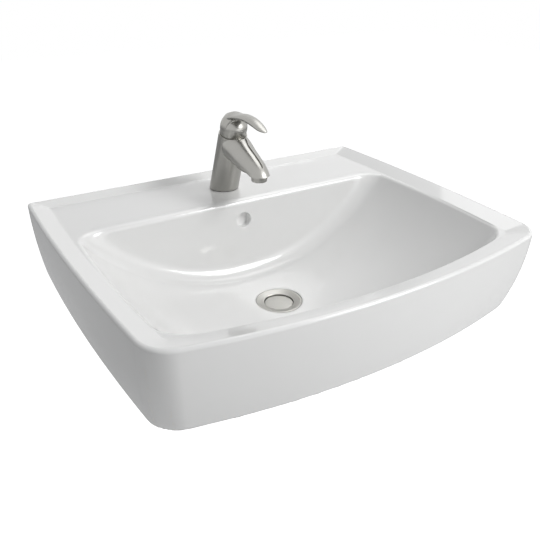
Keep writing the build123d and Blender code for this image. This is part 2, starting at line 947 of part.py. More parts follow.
# Aerator
aerator_plane = Plane(origin=(0, lip_y, lip_z), x_dir=(1, 0, 0), z_dir=(0, -1, 0))
aerator_axis = Axis((0, lip_y, lip_z), (0, 0, 1))
with BuildPart() as aerator_housing:
    add(
        ring_shape(
            (
                (aerator_bore_r, -aerator_height),
                (aerator_low_r - 0.6, -aerator_height),
                (aerator_low_r, 0.6 - aerator_height),
                (aerator_r, 0),
                (aerator_thread_r, 0),
                (aerator_thread_r, aerator_thread),
                (aerator_bore_r, aerator_thread),
            ),
            aerator_plane,
            aerator_axis,
        )
    )
save(aerator_housing, "aerator_housing")

with BuildPart() as aerator_insert:
    with BuildSketch(Plane.XY.offset(lip_z - aerator_height + 0.8)):
        with Locations((0, lip_y)):
            Circle(aerator_bore_r)
            with PolarLocations(0.38 * aerator_bore_r, 6):
                Circle(insert_hole_r, mode=Mode.SUBTRACT)
            with PolarLocations(0.76 * aerator_bore_r, 12):
                Circle(insert_hole_r, mode=Mode.SUBTRACT)
    extrude(amount=aerator_height - 1.6)
save(aerator_insert, "aerator_insert")

with BuildPart() as aerator_washer_ring:
    with BuildSketch(Plane.XY.offset(lip_z + aerator_thread)):
        with Locations((0, lip_y)):
            Circle(aerator_thread_r)
            Circle(aerator_bore_r - 1.5, mode=Mode.SUBTRACT)
    extrude(amount=aerator_washer)
save(aerator_washer_ring, "aerator_washer")

# Cartridge
ports = ((-port_x, port_back), (port_x, port_back), (0, -port_front))
base_low = cartridge_floor
seal_height = 1.4
seal_gap = 1.6
with BuildPart() as cartridge_base:
    add(ring_cylinder(cartridge_r, base_low, base_low + base_plate))
    add(ring_cylinder(bore_r - running_gap, base_low, fixed_disc_low))
    for x, back in ports:
        add(ring_cylinder(port_r, base_low - 1, fixed_disc_low + 1, x, back), mode=Mode.SUBTRACT)
        add(
            ring_cylinder(port_r + seal_gap, base_low, base_low + seal_height, x, back),
            mode=Mode.SUBTRACT,
        )
save(cartridge_base, "cartridge_base")

with BuildPart() as port_seals:
    for x, back in ports:
        add(ring_cylinder(port_r + seal_gap, base_low, base_low + seal_height, x, back))
        add(
            ring_cylinder(port_r, base_low - 1, base_low + seal_height + 1, x, back),
            mode=Mode.SUBTRACT,
        )
save(port_seals, "port_seals")

housing_low = base_low + base_plate
with BuildPart() as cartridge_housing:
    add(
        ring_turned(
            (bore_r, housing_low),
            (cartridge_r, housing_low),
            (cartridge_r, nut_pocket_floor),
            (neck_r, nut_pocket_floor),
            (neck_r, neck_top),
            (neck_bore_r, neck_top),
            (neck_bore_r, neck_lip_low),
            (bore_r, neck_lip_low),
        )
    )
save(cartridge_housing, "cartridge_housing")

with BuildPart() as cartridge_nut:
    nut_out_r = nut_pocket_r - running_gap
    add(
        ring_turned(
            (neck_r + running_gap, nut_pocket_floor),
            (nut_out_r, nut_pocket_floor),
            (nut_out_r, cartridge_nut_top),
            (neck_r + running_gap, cartridge_nut_top),
        )
    )
    with BuildSketch(ring_plane.offset(cartridge_nut_top)):
        with PolarLocations(nut_out_r, 6):
            Rectangle(nut_notch, nut_notch)
    extrude(amount=-nut_notch / 2, mode=Mode.SUBTRACT)
save(cartridge_nut, "cartridge_nut")

with BuildPart() as fixed_disc:
    add(ring_cylinder(bore_r - running_gap, fixed_disc_low, moving_disc_low))
    for x, back in ports:
        add(
            ring_cylinder(port_r, fixed_disc_low - 1, moving_disc_low + 1, x, back),
            mode=Mode.SUBTRACT,
        )
save(fixed_disc, "fixed_disc")

with BuildPart() as moving_disc:
    add(ring_cylinder(disc_r, moving_disc_low, carrier_low, 0, disc_shift))
    add(
        ring_cylinder(disc_r - 3, moving_disc_low - 1, moving_disc_low + 2, 0, disc_shift),
        mode=Mode.SUBTRACT,
    )
save(moving_disc, "moving_disc")

with BuildPart() as disc_carrier:
    add(ring_cylinder(disc_r, carrier_low, carrier_top, 0, disc_shift))
    add(ring_cylinder(socket_r, carrier_low + 0.2, carrier_top + 1), mode=Mode.SUBTRACT)
save(disc_carrier, "disc_carrier")

slot_mid = (guide_slot_back - guide_slot_front) / 2
slot_length = guide_slot_back + guide_slot_front
with BuildPart() as spindle_guide:
    add(ring_cylinder(bore_r - running_gap, guide_low, neck_lip_low - running_gap))
    add(ring_cylinder(neck_bore_r - running_gap, guide_low, guide_top))
    with BuildSketch(ring_plane.offset(guide_low - 1)):
        with Locations((0, slot_mid)):
            Rectangle(guide_slot_width, slot_length)
    extrude(amount=guide_top - guide_low + 2, mode=Mode.SUBTRACT)
    add(
        rod(pivot - Vector(bore_r, 0, 0), pivot + Vector(bore_r, 0, 0), pin_r),
        mode=Mode.SUBTRACT,
    )
save(spindle_guide, "spindle_guide")

with BuildPart() as pivot_pin:
    pin_half = neck_bore_r - 0.8
    add(rod(pivot - Vector(pin_half, 0, 0), pivot + Vector(pin_half, 0, 0), pin_r))
save(pivot_pin, "pivot_pin")

with BuildPart() as spindle:
    shank_low = -5.0
    with BuildSketch(ring_plane.offset(shank_low)):
        Rectangle(spindle_width, spindle_length)
    extrude(amount=handle_post_low - 1 - shank_low)
    with BuildSketch(ring_plane.offset(handle_post_low - 1)):
        Rectangle(spindle_square, spindle_square)
    extrude(amount=spindle_top - handle_post_low + 1)
    add(ring_cylinder(0.7 * ball_r, pivot_h - ball_drop, shank_low))
    with Locations(at_ring(0, 0, pivot_h - ball_drop)):
        Sphere(ball_r)
    add(
        rod(
            pivot - Vector(spindle_width, 0, 0),
            pivot + Vector(spindle_width, 0, 0),
            pin_r + running_gap,
        ),
        mode=Mode.SUBTRACT,
    )
save(spindle, "spindle")

# what sweeps down past the ring as the lever tips up must stay on the sphere
with BuildPart() as sweep_trim:
    tip = math.radians(tilt_range)
    tip_up = ring_up * math.cos(tip) - ring_back * math.sin(tip)
    trim_plane = Plane(origin=pivot + tip_up * 1.0, x_dir=(1, 0, 0), z_dir=tip_up)
    with BuildSketch(trim_plane):
        Circle(3 * hood_r)
    extrude(amount=-3 * hood_r)
    with Locations(pivot):
        Sphere(hood_r + trim_gap, mode=Mode.SUBTRACT)

# Handle: a low dome in front, a high one behind, and the lever out of the high one
with BuildPart() as dome_low:
    with BuildSketch(ring_side):
        with BuildLine():
            skirt_drop = pivot_h - skirt_front_h + 1
            skirt_x = math.sqrt(hood_r**2 - skirt_drop**2)
            mid_drop = skirt_drop / 2
            Line((0, pivot_h - skirt_drop), (skirt_x, pivot_h - skirt_drop))
            ThreePointArc(
                (skirt_x, pivot_h - skirt_drop),
                (math.sqrt(hood_r**2 - mid_drop**2), pivot_h - mid_drop),
                (hood_r, pivot_h),
            )
            Spline(
                (hood_r, pivot_h),
                (hood_wide_r, hood_wide_h),
                tangents=((0, 1), (0, 1)),
            )
            EllipticalCenterArc(
                (0, hood_wide_h),
                hood_wide_r,
                hood_front_top_h - hood_wide_h,
                arc_size=90,
            )
            Line((0, hood_front_top_h), (0, pivot_h - skirt_drop))
        make_face()
    revolve(axis=ring_axis)
    add(sweep_trim, mode=Mode.SUBTRACT)

with BuildPart() as dome_high:
    with BuildSketch(ring_side):
        with BuildLine():
            EllipticalCenterArc(
                (0, hood_wide_h),
                hood_wide_r,
                hood_top_h - hood_wide_h,
                arc_size=90,
            )
            Line((0, hood_top_h), (0, hood_wide_h))
            Line((0, hood_wide_h), (hood_wide_r, hood_wide_h))
        make_face()
    revolve(axis=ring_axis)
    with BuildSketch(ring_plane):
        with Locations((0, slit_back - hood_wide_r)):
            Rectangle(4 * hood_wide_r, 2 * hood_wide_r)
    extrude(amount=2 * hood_top_h, mode=Mode.SUBTRACT)

with BuildPart() as lever_arm:
    for back, half, low, high in lever_sections:
        plane = Plane(origin=at_ring(0, back, 0), x_dir=(1, 0, 0), z_dir=-ring_back)
        with BuildSketch(plane):
            with Locations((0, (low + high) / 2)):
                Ellipse(half, (high - low) / 2)
    loft()

with BuildPart() as lever_handle:
    add(dome_low)
    add(dome_high)
    add(lever_arm)
    # the lower edge drops to the front
    with BuildSketch(ring_side):
        with BuildLine():
            reach = 2 * hood_r
            drop = (skirt_back_h - skirt_front_h) / (2 * hood_r)
            mid_h = (skirt_back_h + skirt_front_h) / 2
            Polyline(
                (-reach, mid_h - drop * reach),
                (reach, mid_h + drop * reach),
                (reach, -reach),
                (-reach, -reach),
                close=True,
            )
        make_face()
    extrude(amount=2 * hood_r, both=True, mode=Mode.SUBTRACT)
    with Locations(pivot):
        Sphere(hood_inner_r, mode=Mode.SUBTRACT)
    post_top = pivot_h + hood_inner_r - 1
    add(ring_cylinder(handle_post_r, handle_post_low, post_top + 2))
    with BuildSketch(ring_plane.offset(handle_post_low - 1)):
        Rectangle(spindle_square + 2 * running_gap, spindle_square + 2 * running_gap)
    extrude(amount=spindle_top - handle_post_low + 1, mode=Mode.SUBTRACT)
    # the grub screw's hole at the back
    grub_start = at_ring(0, spindle_square / 2, grub_h)
    add(
        rod(grub_start, at_ring(0, 2 * hood_r, grub_h), grub_r),
        mode=Mode.SUBTRACT,
    )
save(lever_handle, "lever_handle")

with BuildPart() as handle_grub_screw:
    add(rod(grub_start, at_ring(0, spindle_square / 2 + grub_length, grub_h), grub_r))
save(handle_grub_screw, "handle_grub_screw")

with BuildPart() as indicator_plug:
    plug_end = hood_wide_r - 1.2
    add(
        rod(
            at_ring(0, plug_end - indicator_length, grub_h),
            at_ring(0, plug_end, grub_h),
            grub_r,
        )
    )
save(indicator_plug, "indicator_plug")
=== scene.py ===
import json
import math

import bmesh
import bpy
import numpy as np
from mathutils import Matrix, Vector


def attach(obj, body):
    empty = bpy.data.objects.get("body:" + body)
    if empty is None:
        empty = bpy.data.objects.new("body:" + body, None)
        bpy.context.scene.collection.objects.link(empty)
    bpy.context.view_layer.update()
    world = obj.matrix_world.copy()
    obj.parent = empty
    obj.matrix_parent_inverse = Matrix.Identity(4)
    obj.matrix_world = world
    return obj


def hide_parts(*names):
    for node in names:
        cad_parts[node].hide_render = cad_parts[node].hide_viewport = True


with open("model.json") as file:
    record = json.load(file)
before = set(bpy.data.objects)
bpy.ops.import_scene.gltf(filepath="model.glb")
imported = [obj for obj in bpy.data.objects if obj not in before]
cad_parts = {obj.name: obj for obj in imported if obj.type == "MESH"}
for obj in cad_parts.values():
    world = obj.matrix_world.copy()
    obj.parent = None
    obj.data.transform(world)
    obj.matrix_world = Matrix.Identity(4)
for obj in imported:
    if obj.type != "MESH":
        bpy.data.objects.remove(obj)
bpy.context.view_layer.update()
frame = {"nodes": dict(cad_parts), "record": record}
mm = 0.001

# What a user would change on the ceramic, in millimetres, the same as the solid's
cast = {
    "rimZ": 75.0,
    "deckZ": 66.0,
    "floorZ": -64.0,
    "backHalf": 300.0,  # half the width at the wall
    "frontHalf": 288.7,  # and at the front corners
    "cornerDeep": 461.6,  # from the wall to the front corners
    "frontBow": 35.1,
    "sideBow": 8.0,
    "wasteY": -242.3,
    "apronDeep": 122.0,
    "sideApronR": 680.0,
    "frontApronR": 310.0,
    "cornerShare": 0.8,
    "footRound": 3.5,
    "rimRound": 4.0,
    "bandSide": 29.0,
    "bandFront": 30.0,
    "bandBack": 15.0,
    "rimLand": 4.6,
    "troughR": 344.0,
    "troughLongR": 1500.0,
    "bowlBackY": -134.0,
    "bowlFillet": 27.0,
    "edgeRound": 3.0,
    "deckRoll": 9.0,
    "seatR": 36.6,
    "overflowZ": 31.7,
    "overflowR": 12.3,
    "mouthRound": 3.2,
}


class Value:
    # a socket that sums and multiplies like a number
    def __init__(self, graph, socket):
        self.graph = graph
        self.socket = socket

    def combine(self, operation, other):
        return self.graph.value("Math", 0, {"operation": operation}, {0: self, 1: other})

    def __add__(self, other):
        return self.combine("ADD", other)

    def __mul__(self, other):
        return self.combine("MULTIPLY", other)

    __radd__ = __add__
    __rmul__ = __mul__


class Graph:
    def __init__(self, owner):
        owner.use_nodes = True
        self.tree = owner.node_tree
        self.tree.nodes.clear()

    def add(self, kind, settings=None, sockets=None):
        node = self.tree.nodes.new("ShaderNode" + kind)
        for key, setting in (settings or {}).items():
            setattr(node, key, setting)
        for key, given in (sockets or {}).items():
            if isinstance(given, Value):
                self.tree.links.new(given.socket, node.inputs[key])
            else:
                node.inputs[key].default_value = given
        return node

    def value(self, kind, output, settings=None, sockets=None):
        return Value(self, self.add(kind, settings, sockets).outputs[output])

    def noise(self, scale, detail, roughness=0.5):
        place = self.value("TexCoord", "Object")
        sockets = {"Vector": place, "Scale": scale, "Detail": detail, "Roughness": roughness}
        return self.value("TexNoise", "Fac", None, sockets)


def makeFinish(name, dark, light, patch, grain, bump, spread=None, **fixed):
    # patch and grain are the scale and detail of a noise, bump its strength and distance
    material = bpy.data.materials.new(name)
    graph = Graph(material)
    sockets = {key.replace("_", " "): given for key, given in fixed.items()}
    colours = {"Factor": graph.noise(*patch), 6: (*dark, 1.0), 7: (*light, 1.0)}
    sockets["Base Color"] = graph.value("Mix", 2, {"data_type": "RGBA"}, colours)
    fine = graph.noise(*grain)
    if spread:
        limits = {"From Min": 0.3, "From Max": 0.7, "To Min": spread[0], "To Max": spread[1]}
        sockets["Roughness"] = graph.value("MapRange", "Result", None, {"Value": fine, **limits})
    relief = {"Strength": bump[0], "Distance": bump[1], "Height": fine}
    sockets["Normal"] = graph.value("Bump", "Normal", None, relief)
    surface = graph.value("BsdfPrincipled", "BSDF", None, sockets)
    graph.add("OutputMaterial", None, {"Surface": surface})
    return material


def metalFinish(name, dark, light, rough, spread):
    limits = (rough - spread, rough + spread)
    return makeFinish(
        name, dark, light, (70.0, 3.0), (1400.0, 3.0, 0.6), (0.04, 0.0002), limits, Metallic=1.0
    )


def plasticFinish(name, dark, light, rough):
    return makeFinish(
        name, dark, light, (90.0, 3.0), (900.0, 2.0), (0.12, 0.0003), Roughness=rough
    )


finishes = {
    "ceramic": makeFinish(
        "white glaze",
        (0.80, 0.80, 0.79),
        (0.83, 0.83, 0.825),
        (9.0, 2.0),
        (60.0, 1.0),
        (0.05, 0.0004),
        Roughness=0.32,
        Coat_Weight=1.0,
        Coat_Roughness=0.06,
        IOR=1.5,
    ),
    "underside": makeFinish(
        "glazed underside",
        (0.74, 0.73, 0.70),
        (0.82, 0.81, 0.79),
        (22.0, 4.0),
        (420.0, 3.0),
        (0.25, 0.0006),
        Roughness=0.5,
        Coat_Weight=0.3,
        Coat_Roughness=0.25,
    ),
    "satin_nickel": metalFinish(
        "satin nickel", (0.37, 0.365, 0.345), (0.41, 0.405, 0.385), 0.33, 0.03
    ),
    "chrome": metalFinish("polished chrome", (0.76, 0.76, 0.76), (0.83, 0.83, 0.83), 0.08, 0.02),
    "brass": metalFinish("turned brass", (0.60, 0.44, 0.19), (0.72, 0.54, 0.26), 0.28, 0.06),
    "steel": metalFinish("zinc plated steel", (0.52, 0.53, 0.55), (0.66, 0.67, 0.69), 0.32, 0.06),
    "rubber": plasticFinish("black rubber", (0.018, 0.018, 0.018), (0.03, 0.03, 0.03), 0.7),
    "white_plastic": plasticFinish("white nylon", (0.72, 0.72, 0.69), (0.80, 0.80, 0.78), 0.45),
    "grey_plastic": plasticFinish("grey acetal", (0.10, 0.105, 0.11), (0.15, 0.155, 0.16), 0.45),
    "disc_ceramic": plasticFinish("lapped alumina", (0.74, 0.72, 0.67), (0.80, 0.78, 0.74), 0.25),
}

def circleThrough(a, b, c):
    ax, ay = a
    bx, by = b
    cx, cy = c
    d = 2 * (ax * (by - cy) + bx * (cy - ay) + cx * (ay - by))
    aa, bb, cc = ax**2 + ay**2, bx**2 + by**2, cx**2 + cy**2
    ux = (aa * (by - cy) + bb * (cy - ay) + cc * (ay - by)) / d
    uy = (aa * (cx - bx) + bb * (ax - cx) + cc * (bx - ax)) / d
    return np.array([ux, uy]), math.hypot(ax - ux, ay - uy)


def arcPoints(centre, radius, start, end, count):
    first = math.atan2(start[1] - centre[1], start[0] - centre[0])
    last = math.atan2(end[1] - centre[1], end[0] - centre[0])
    turn = (last - first + math.pi) % (2 * math.pi) - math.pi
    angles = first + turn * np.linspace(0, 1, count)
    return np.stack([centre[0] + radius * np.cos(angles), centre[1] + radius * np.sin(angles)], 1)


def halfOutline(sideIn, frontIn, backIn, cornerR, backR):
    backHalf = cast["backHalf"] - sideIn
    frontHalf = cast["frontHalf"] - sideIn
    midHalf = (backHalf + frontHalf) / 2 + cast["sideBow"]
    backY = -backIn
    cornerY = frontIn - cast["cornerDeep"]
    frontY = cornerY - cast["frontBow"]
    middle = (midHalf, (backY + cornerY) / 2)
    sideC, sideR = circleThrough((backHalf, backY), middle, (frontHalf, cornerY))
    frontC, frontR = circleThrough((-frontHalf, cornerY), (0, frontY), (frontHalf, cornerY))
    # the back corner's centre lies one radius inside the side's arc and the back's line
    y = backY - backR
    backCorner = np.array([sideC[0] + math.sqrt((sideR - backR) ** 2 - (y - sideC[1]) ** 2), y])
    backTouch = np.array([backCorner[0], backY])
    way = backCorner - sideC
    sideTop = sideC + way / np.linalg.norm(way) * sideR
    # and the front corner's one radius inside both arcs
    gap = frontC - sideC
    reach = np.linalg.norm(gap)
    first = sideR - cornerR
    second = frontR - cornerR
    along = (first**2 - second**2 + reach**2) / (2 * reach)
    off = math.sqrt(first**2 - along**2)
    unit = gap / reach
    cross = np.array([-unit[1], unit[0]])
    options = [sideC + unit * along + cross * off * sign for sign in (1, -1)]
    frontCorner = min(options, key=lambda p: np.hypot(p[0] - frontHalf, p[1] - cornerY))
    way = frontCorner - sideC
    sideLow = sideC + way / np.linalg.norm(way) * sideR
    way = frontCorner - frontC
    frontTouch = frontC + way / np.linalg.norm(way) * frontR
    back = np.stack([np.linspace(0, backTouch[0], 40), np.full(40, backY)], 1)
    return np.concatenate(
        [
            back,
            arcPoints(backCorner, backR, backTouch, sideTop, 8)[1:],
            arcPoints(sideC, sideR, sideTop, sideLow, 60)[1:],
            arcPoints(frontCorner, cornerR, sideLow, frontTouch, 20)[1:],
            arcPoints(frontC, frontR, frontTouch, (0, frontY), 44)[1:],
        ]
    )


def fullOutline(*sizes):
    half = halfOutline(*sizes)
    other = half[1:-1][::-1] * [-1, 1]
    return np.concatenate([half, other])


bandHalf = cast["frontHalf"] - cast["bandSide"]
bandFrontR = (bandHalf**2 + cast["frontBow"] ** 2) / (2 * cast["frontBow"])
bandCentreY = bandFrontR - cast["frontBow"] - cast["cornerDeep"] + cast["bandFront"]
frontSlope = math.tan(math.radians(6.0))
wallTilt = math.radians(2.0)
backSlope = math.tan(wallTilt)
rollTurn = math.radians(58.0)
rollZ = cast["deckZ"] - cast["deckRoll"]


def roundMax(a, b, r):
    inner = np.minimum(np.maximum(a, b), -r)
    return inner + np.hypot(np.maximum(a + r, 0), np.maximum(b + r, 0))


def bowlField(x, y, z):
    # below zero inside the bowl's hollow
    rho = np.hypot(y - cast["wasteY"], z - (cast["floorZ"] + cast["troughLongR"]))
    floorD = np.hypot(x, rho - (cast["troughLongR"] - cast["troughR"])) - cast["troughR"]
    frontWall = bandFrontR - cast["edgeRound"] + (z - cast["deckZ"]) * frontSlope
    frontD = np.hypot(x, y - bandCentreY) - frontWall
    wallD = (y - (cast["bowlBackY"] - (rollZ - z) * backSlope)) * math.cos(wallTilt)
    centreY = cast["bowlBackY"] + cast["deckRoll"]
    rollD = cast["deckRoll"] - np.hypot(y - centreY, z - rollZ)
    endY = centreY - cast["deckRoll"] * math.cos(rollTurn)
    endZ = rollZ + cast["deckRoll"] * math.sin(rollTurn)
    slopeD = (y - endY) * math.cos(rollTurn) - (z - endZ) * math.sin(rollTurn)
    angle = np.arctan2(z - rollZ, -(y - centreY))
    backD = np.where(z < rollZ, wallD, np.where(angle < rollTurn, rollD, slopeD))
    return roundMax(roundMax(floorD, frontD, cast["bowlFillet"]), backD, cast["bowlFillet"])


def topField(x, y, z):
    # below zero inside the ceramic, near the deck and bowl
    return roundMax(-bowlField(x, y, z), z - cast["deckZ"], cast["edgeRound"])


def bowlRings(start, count):
    # follows the surface from each start point towards the waste, and shares the points
    # out by length and by bend
    centre = np.array([0.0, cast["wasteY"]])
    way = centre - start
    reach = np.linalg.norm(way, axis=1)
    way = way / reach[:, None]
    s = np.zeros(len(start))
    z = np.full(len(start), cast["deckZ"])

    def field(sv, zv):
        return topField(start[:, 0] + way[:, 0] * sv, start[:, 1] + way[:, 1] * sv, zv)

    for _ in range(20):
        slope = np.maximum((field(s, z + 0.01) - field(s, z - 0.01)) / 0.02, 0.2)
        z = z - np.clip(field(s, z) / slope, -2, 2)
    path = [np.stack([s, z], 1)]
    step = 0.6
    for _ in range(1100):
        gs = (field(s + 0.02, z) - field(s - 0.02, z)) / 0.04
        gz = (field(s, z + 0.02) - field(s, z - 0.02)) / 0.04
        size = np.maximum(np.hypot(gs, gz), 1e-6)
        s = s + step * gz / size
        z = z - step * gs / size
        for _ in range(2):
            f = field(s, z)
            gs = (field(s + 0.02, z) - field(s - 0.02, z)) / 0.04
            gz = (field(s, z + 0.02) - field(s, z - 0.02)) / 0.04
            size = np.maximum(gs**2 + gz**2, 1e-6)
            s = s - f * gs / size
            z = z - f * gz / size
        path.append(np.stack([s, z], 1))
    path = np.stack(path, 1)
    rings = np.zeros((count, len(start), 3))
    for k in range(len(start)):
        line = path[k]
        end = reach[k] - cast["seatR"]
        stop = np.argmax(line[:, 0] >= end)
        line = line[: stop + 1].copy()
        a, b = line[-2], line[-1]
        line[-1] = a + (b - a) * (end - a[0]) / max(b[0] - a[0], 1e-9)
        d = np.diff(line, axis=0)
        length = np.hypot(d[:, 0], d[:, 1])
        heading = np.unwrap(np.arctan2(d[:, 1], d[:, 0]))
        bend = np.concatenate([[0], np.abs(np.diff(heading))])
        bend = np.convolve(bend, np.ones(9) / 9, "same")
        weight = length + 26.0 * bend
        total = np.concatenate([[0], np.cumsum(weight)])
        want = np.linspace(0, total[-1], count)
        sv = np.interp(want, total, line[:, 0])
        zv = np.interp(want, total, line[:, 1])
        rings[:, k, 0] = start[k, 0] + way[k, 0] * sv
        rings[:, k, 1] = start[k, 1] + way[k, 1] * sv
        rings[:, k, 2] = zv
    return rings


def lift(loop, z):
    return np.concatenate([loop, np.full((len(loop), 1), z)], 1)


def apronInset(radius, depth):
    return radius - math.sqrt(radius**2 - depth**2)


def basinRings():
    rings = []

    def level(depth, extra):
        return lift(
            fullOutline(
                apronInset(cast["sideApronR"], depth) + extra,
                cast["cornerShare"] * apronInset(cast["frontApronR"], depth) + extra,
                extra,
                max(44.0 - extra, 1.0),
                max(6.0 - extra, 1.0),
            ),
            cast["rimZ"] - depth,
        )

    foot = cast["footRound"]
    top = cast["rimRound"]
    for turn in np.linspace(0, math.pi / 2, 7):
        depth = cast["apronDeep"] - foot * (1 - math.cos(turn))
        rings.append(level(depth, foot * (1 - math.sin(turn))))
    for k in range(1, 24):
        depth = cast["apronDeep"] - foot
        rings.append(level(depth + (top - depth) * k / 24, 0.0))
    for turn in np.linspace(0, math.pi / 2, 9):
        rings.append(level(top * (1 - math.sin(turn)), top * (1 - math.cos(turn))))
    for t in (0.0, 0.03, 0.06, 0.12, 0.25, 0.4, 0.55, 0.7, 0.82, 0.9, 0.95, 0.98):
        rings.append(
            lift(
                fullOutline(
                    cast["rimLand"] + t * (cast["bandSide"] - cast["rimLand"]),
                    cast["rimLand"] + t * (cast["bandFront"] - cast["rimLand"]),
                    cast["rimLand"] + t * (cast["bandBack"] - cast["rimLand"]),
                    39.4 + t * (12.0 - 39.4),
                    4.6 + t * (2.0 - 4.6),
                ),
                cast["rimZ"] - t * (cast["rimZ"] - cast["deckZ"]),
            )
        )
    inner = fullOutline(cast["bandSide"], cast["bandFront"], cast["bandBack"], 12.0, 2.0)
    for ring in bowlRings(inner, 110):
        rings.append(ring)
    last = rings[-1]
    centre = np.array([0.0, cast["wasteY"]])
    flat = last[:, :2] - centre
    flat = flat / np.linalg.norm(flat, axis=1)[:, None]
    # the seat's step under the flange, then the waste hole
    seat = (
        (cast["seatR"] - 0.5, None),
        (cast["seatR"] - 0.7, -0.8),
        (cast["seatR"] - 0.7, -3.0),
        (30.0, -3.0),
        (24.5, -3.0),
        (24.5, -8.0),
    )
    for radius, z in seat:
        ring = last.copy()
        ring[:, :2] = centre + flat * radius
        ring[:, 2] = last[:, 2] - 0.3 if z is None else cast["floorZ"] + z
        rings.append(ring)
    return np.stack(rings)


def meshFrom(name, points, faces, finish):
    mesh = bpy.data.meshes.new(name)
    mesh.from_pydata([tuple(p) for p in np.asarray(points) * mm], [], [tuple(f) for f in faces])
    mesh.validate()
    thing = bpy.data.objects.new(name, mesh)
    bpy.context.scene.collection.objects.link(thing)
    mesh.materials.append(finishes[finish])
    mesh.shade_smooth()
    return thing


def gridFaces(rows, columns):
    faces = []
    for r in range(rows - 1):
        here, below = r * columns, (r + 1) * columns
        for c in range(columns):
            d = (c + 1) % columns
            faces.append((here + c, here + d, below + d, below + c))
    return faces


def makeBasin():
    rings = basinRings()
    rows, columns = rings.shape[:2]
    points = rings.reshape(-1, 3)
    basin = meshFrom("basinCeramic", points, gridFaces(rows, columns), "ceramic")
    cutOverflow(basin)
    return basin


def cutOverflow(basin):
    # the wall's points round the hole, and a rounded mouth that runs into the duct
    shape = bmesh.new()
    shape.from_mesh(basin.data)
    near = []
    for face in shape.faces:
        c = face.calc_center_median() / mm
        onWall = abs(c.y - cast["bowlBackY"]) < 14 and c.z < rollZ
        if onWall and math.hypot(c.x, c.z - cast["overflowZ"]) < cast["overflowR"] + 3.5:
            near.append(face)
    bmesh.ops.delete(shape, geom=near, context="FACES")
    edges = []
    for edge in shape.edges:
        p = edge.verts[0].co / mm
        if edge.is_boundary and math.hypot(p.x, p.z - cast["overflowZ"]) < cast["overflowR"] + 12:
            if abs(p.y - cast["bowlBackY"]) < 14:
                edges.append(edge)
    # the opening's edge is set on a true circle in the wall's plane
    for vert in {v for e in edges for v in e.verts}:
        turn = math.atan2(vert.co.z / mm - cast["overflowZ"], vert.co.x / mm)
        z = cast["overflowZ"] + (cast["overflowR"] + cast["mouthRound"]) * math.sin(turn)
        y = cast["bowlBackY"] - (rollZ - z) * backSlope
        vert.co = Vector(((cast["overflowR"] + cast["mouthRound"]) * math.cos(turn), y, z)) * mm
    loops = []
    count = 72
    mouth = (
        (cast["overflowR"] + 1.6, 0.0),
        (cast["overflowR"] + 0.9, 0.12),
        (cast["overflowR"] + 0.4, 0.45),
        (cast["overflowR"] + 0.1, 0.9),
        (cast["overflowR"], 1.6),
        (cast["overflowR"], 9.0),
        (cast["overflowR"] - 1.0, 10.0),
        (0.5, 10.2),
    )
    for radius, deep in mouth:
        loop = []
        for k in range(count):
            turn = 2 * math.pi * k / count
            x = radius * math.cos(turn)
            z = cast["overflowZ"] + radius * math.sin(turn)
            y = cast["bowlBackY"] - (rollZ - z) * backSlope + deep
            loop.append(shape.verts.new(Vector((x, y, z)) * mm))
        loops.append(loop)
    ringEdges = [shape.edges.new((loops[0][k], loops[0][(k + 1) % count])) for k in range(count)]
    bmesh.ops.triangle_fill(
        shape, use_beauty=True, edges=edges + ringEdges, normal=Vector((0, -1, 0))
    )
    for a, b in zip(loops, loops[1:]):
        for k in range(count):
            shape.faces.new((a[k], a[(k + 1) % count], b[(k + 1) % count], b[k]))
    shape.faces.new(loops[-1])
    bmesh.ops.recalc_face_normals(shape, faces=shape.faces)
    for face in shape.faces:
        face.smooth = True
    shape.to_mesh(basin.data)
    shape.free()


def makeUnderside():
    # the hidden hollow, boss and duct come from the solid
    source = frame["nodes"]["basin"]
    mesh = source.data.copy()
    mesh.name = "basinUnderside"
    thing = bpy.data.objects.new("basinUnderside", mesh)
    bpy.context.scene.collection.objects.link(thing)
    shape = bmesh.new()
    shape.from_mesh(mesh)
    place = source.matrix_world
    gone = []
    for face in shape.faces:
        c = (place @ face.calc_center_median()) / mm
        n = (place.to_3x3() @ face.normal).normalized()
        x, y, z = c.x, c.y, c.z
        depth = min(max(cast["rimZ"] - z, 0.0), cast["apronDeep"])
        # the apron's face at this depth, from the rim's plan
        u = -y / cast["cornerDeep"]
        side = cast["backHalf"] + 20.87 * u - 32.2 * u * u - apronInset(cast["sideApronR"], depth)
        bow = cast["frontBow"] * (1 - min((x / cast["frontHalf"]) ** 2, 1))
        inset = cast["cornerShare"] * apronInset(cast["frontApronR"], depth)
        front = -(cast["cornerDeep"] + bow) + inset
        near = abs(x) > side - 2.5 or y > -0.6 or y < front + 3.5
        corner = abs(x) > side - 16 and y < front + 16 and n.z < 0.9
        corner = corner and (n.x * x > 0 or n.y < 0) and z > cast["rimZ"] - cast["apronDeep"] + 0.3
        inBowl = bowlField(x, y, z) < 1.0 and z > cast["floorZ"] - 0.5 and n.z > -0.3
        inMouth = math.hypot(x, z - cast["overflowZ"]) < cast["overflowR"] + 0.4 and -136 < y < -120
        foot = z < cast["rimZ"] - cast["apronDeep"] + 0.6 and n.z < -0.9
        if not foot and (inMouth or inBowl or z > 60 or near or corner):
            gone.append(face)
    bmesh.ops.delete(shape, geom=gone, context="FACES")
    shape.transform(place)
    shape.to_mesh(mesh)
    shape.free()
    mesh.materials.clear()
    mesh.materials.append(finishes["underside"])
    return thing


